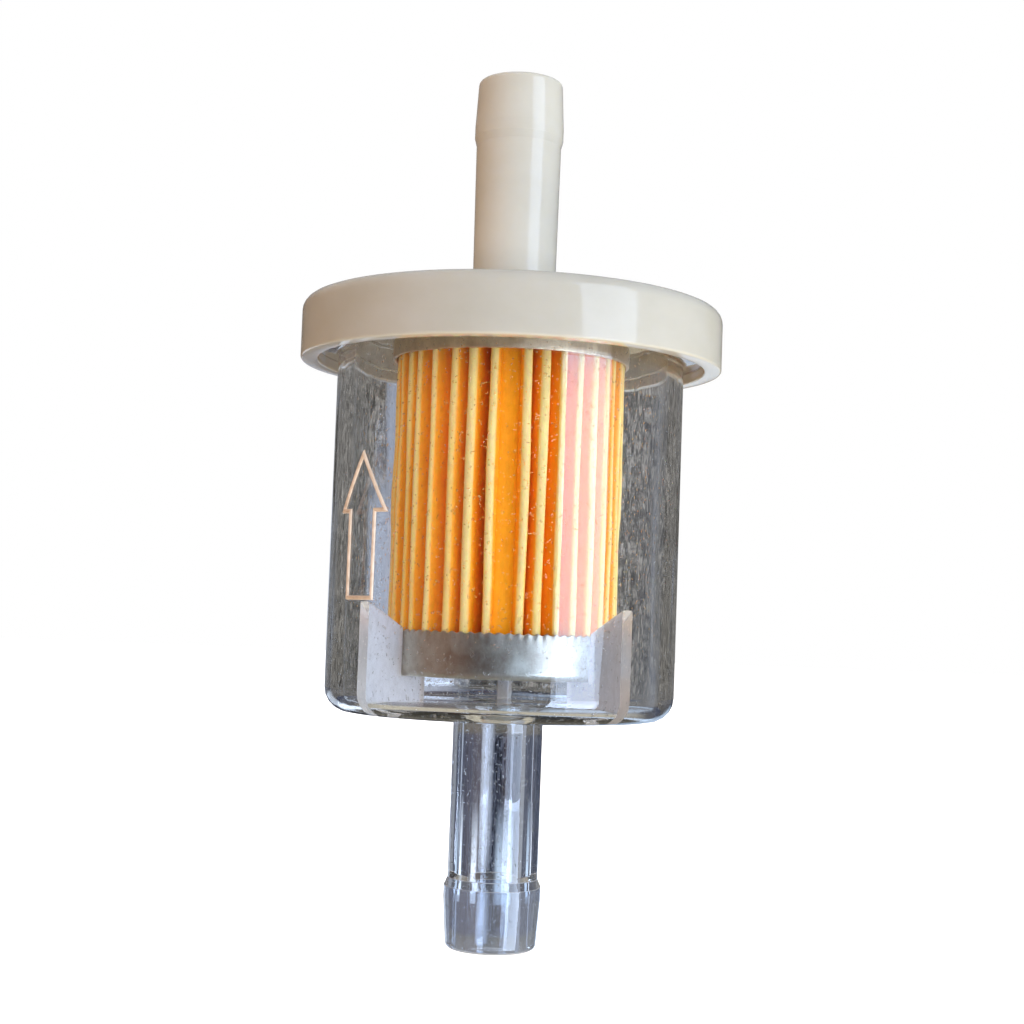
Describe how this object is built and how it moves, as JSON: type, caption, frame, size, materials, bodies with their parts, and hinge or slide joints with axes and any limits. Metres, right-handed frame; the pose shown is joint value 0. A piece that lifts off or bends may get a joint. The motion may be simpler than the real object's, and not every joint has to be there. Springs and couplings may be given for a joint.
{
  "type": "inline fuel filter",
  "caption": "Inline fuel filter for small engines: clear bowl with a barb, white cap with a barb, and a pleated paper element between steel end caps inside.",
  "frame": {"origin": "on the axis of the filter, at the tip of the inlet barb", "axes": "+Z runs along the axis from the inlet barb to the outlet barb, the way the fuel flows; -Y is the front, midway between the two front ribs of the bowl"},
  "size_m": [0.0427, 0.0426, 0.088],
  "materials": {
    "clear_plastic": "clear, polished, with fine scuffs",
    "white_plastic": "natural nylon, semi-gloss",
    "filter_paper": "resin-treated, matte",
    "glue": "set adhesive",
    "tinned_steel": "tin-plated sheet",
    "rubber": "matte"
  },
  "bodies": {
    "root": {"bowl": "clear_plastic", "outlet_cap": "white_plastic", "pleated_paper": "filter_paper", "seam_glue": "glue", "lower_end_cap": "tinned_steel", "upper_end_cap": "tinned_steel", "lower_glue": "glue", "upper_glue": "glue", "element_seal": "rubber"}
  },
  "joints": []
}
